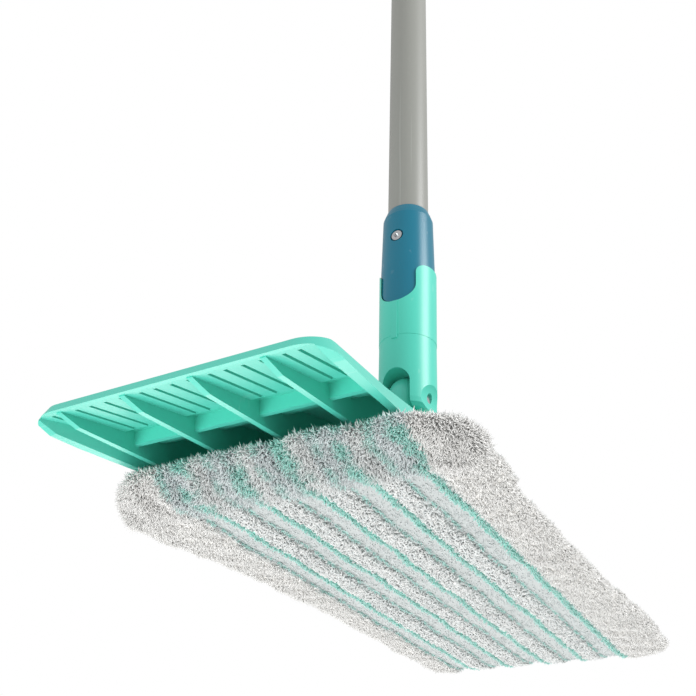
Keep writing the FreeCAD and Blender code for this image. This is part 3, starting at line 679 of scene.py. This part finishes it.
def pocket_sheet():
    """Points and triangles of the pocket: rows climb the skirt from the pad, bulging outwards by
    a quarter sine, round the shoulder and go inwards over the top, which is turned down about
    the hinge as the wing is. The two sides meet on the middle line."""
    shares = np.linspace(0, 1, 42) ** 1.3
    x, y = (np.array(values) for values in zip(*(pocket_ring(share) for share in shares)))
    ahead = x - HINGE_X
    above = pocket_top(x, y, shares) - HINGE_Z
    x = ahead * math.cos(WING_TILT) + above * math.sin(WING_TILT) + HINGE_X
    z = above * math.cos(WING_TILT) - ahead * math.sin(WING_TILT) + HINGE_Z
    foot_x, foot_y = pocket_ring(0.0, 0.1698)
    foot_y = foot_y * 1.035
    climb = np.linspace(0, 1, 18)[:-1, None]
    bulge = np.sin(climb * math.pi / 2)
    crease = 0.0006 * np.sin(climb * math.pi) * wander(foot_x, foot_y + climb * 0.004, 61, 0.013)
    skirt_x = foot_x + (x[0] - foot_x) * bulge + crease * (foot_x > 0.160)
    skirt_y = foot_y + (y[0] - foot_y) * bulge + crease * np.sign(foot_y)
    skirt_z = POCKET_FOOT_Z + (z[0] - POCKET_FOOT_Z) * climb
    skirt = np.stack([skirt_x, skirt_y, skirt_z], -1)
    points = np.concatenate([skirt, np.stack([x, y, z], -1)])
    grid = np.arange(points.shape[0] * points.shape[1]).reshape(points.shape[:2])
    quads = np.stack([grid[:-1, :-1], grid[:-1, 1:], grid[1:, 1:], grid[1:, :-1]], -1).reshape(-1, 4)
    tris = np.concatenate([quads[:, [0, 1, 2]], quads[:, [0, 2, 3]]])
    points = points.reshape(-1, 3)
    _, first, same = np.unique(np.round(points, 5), axis=0, return_index=True, return_inverse=True)
    tris = same.reshape(-1)[tris]
    tris = tris[(tris[:, 0] != tris[:, 1]) & (tris[:, 1] != tris[:, 2]) & (tris[:, 0] != tris[:, 2])]
    return points[first], tris


points, tris = pocket_sheet()
hem = eased(-points[:, 0], -0.1308, -0.1300)
pocket = lay_mesh("pocket_cloth", points, tris=tris, hem=hem)
thick = pocket.modifiers.new("thickness", "SOLIDIFY")
thick.thickness = 0.0011
thick.offset = -1.0

COURSES = 5200.0  # radians a metre, for rows of stitches about 1.2 mm apart
WALES = 5700.0
knit = Finish("pocket_knit", Sheen_Weight=0.3, Sheen_Roughness=0.5)
place = knit.node("TexCoord", out=3)
course = knit.node("SeparateXYZ", sockets={"Vector": place}, out=0)
wale = knit.node("SeparateXYZ", sockets={"Vector": place}, out=1)
stitch = (course * COURSES).sine() * 0.25
stitch = stitch + (wale * WALES).sine() * 0.25 + 0.5
fuzz = knit.noise(900.0, 3.0)
cloud = knit.noise(45.0, 2.0)
edge = knit.node("Attribute", {"attribute_name": "hem"}, out=2)
yarn_white = knit.mix(cloud, rgb(212, 217, 218), rgb(228, 230, 229))
# Painted shade: the yarn is darker in the grooves between stitches and fibres, where the relief below is
# lowest; cloud is the yarn's own tone.
yarn_white = knit.mix(stitch * 0.5 + 0.4 * fuzz, rgb(186, 192, 193), yarn_white)
knit.wear(
    Base_Color=knit.mix(edge * 0.8, yarn_white, rgb(150, 206, 196)),
    Roughness=0.82 + 0.12 * fuzz,
    Normal=knit.bumps(stitch * 0.7 + 0.3 * fuzz, 0.0003, 0.8),
)
pocket.data.materials.append(knit.material)
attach(pocket, "wing_far")
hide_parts("pad_pocket")


# ---- Camera, floor and light -------------------------------------------------------------------
# The camera looks up at the sole from below the near end. A pale floor lies far under it.

YAW = 0.540
PITCH = 0.537
ROLL = 0.039
EYE = Vector((-0.3682, -0.1862, -0.1273))
LENS = 50.14

ahead = Vector((math.cos(YAW) * math.cos(PITCH), math.sin(YAW) * math.cos(PITCH), math.sin(PITCH)))
level = Vector((math.sin(YAW), -math.cos(YAW), 0))
upright = level.cross(ahead)
right = math.cos(ROLL) * level + math.sin(ROLL) * upright
up = math.cos(ROLL) * upright - math.sin(ROLL) * level
camera = bpy.data.objects.new("camera", bpy.data.cameras.new("camera"))
camera.data.lens = LENS
camera.data.sensor_width = 36.0
camera.data.clip_start = 0.01
camera.matrix_world = Matrix.Translation(EYE) @ Matrix((right, up, -ahead)).transposed().to_4x4()
bpy.context.scene.collection.objects.link(camera)
bpy.context.scene.camera = camera

REACH = 12.0
DROP = -1.1
corner = np.array([[-1, -1], [1, -1], [1, 1], [-1, 1]]) * REACH
floor = lay_mesh("floor", np.column_stack([corner, np.full(4, DROP)]), [[0, 1, 2, 3]])
pale = Finish("floor_paint")
pale.wear(Base_Color=pale.mix(pale.noise(3.0), rgb(240, 240, 238), rgb(236, 236, 234)), Roughness=0.8)
floor.data.materials.append(pale.material)


def softbox(name, place, aim, size, power):
    """A square studio light at a place, turned to face a point."""
    light = bpy.data.lights.new(name, "AREA")
    light.size = size
    light.energy = power
    lamp = bpy.data.objects.new(name, light)
    turn = (Vector(aim) - Vector(place)).to_track_quat("-Z", "Y")
    lamp.matrix_world = Matrix.Translation(place) @ turn.to_matrix().to_4x4()
    bpy.context.scene.collection.objects.link(lamp)


softbox("key_light", (-1.1, 0.25, -0.7), (0, 0, 0.05), 0.7, 12)
softbox("side_light", (0.2, -1.5, 0.9), (0, 0, 0.15), 0.8, 26)
softbox("under_light", (0.3, -0.3, -1.0), (0, 0, 0), 1.0, 1.2)
softbox("far_light", (1.18, 0.71, -0.82), (0, 0, 0.02), 1.2, 14)
world = bpy.data.worlds.new("studio")
world.use_nodes = True
sky = world.node_tree
seen = sky.nodes.new("ShaderNodeLightPath").outputs["Is Camera Ray"]
amount = sky.nodes.new("ShaderNodeMapRange")
amount.inputs["To Min"].default_value = 0.62
amount.inputs["To Max"].default_value = 1.0
sky.links.new(seen, amount.inputs["Value"])
sky.links.new(amount.outputs["Result"], sky.nodes["Background"].inputs["Strength"])
sky.nodes["Background"].inputs["Color"].default_value = (1, 1, 1, 1)
bpy.context.scene.world = world
bpy.context.scene.view_settings.view_transform = "Standard"
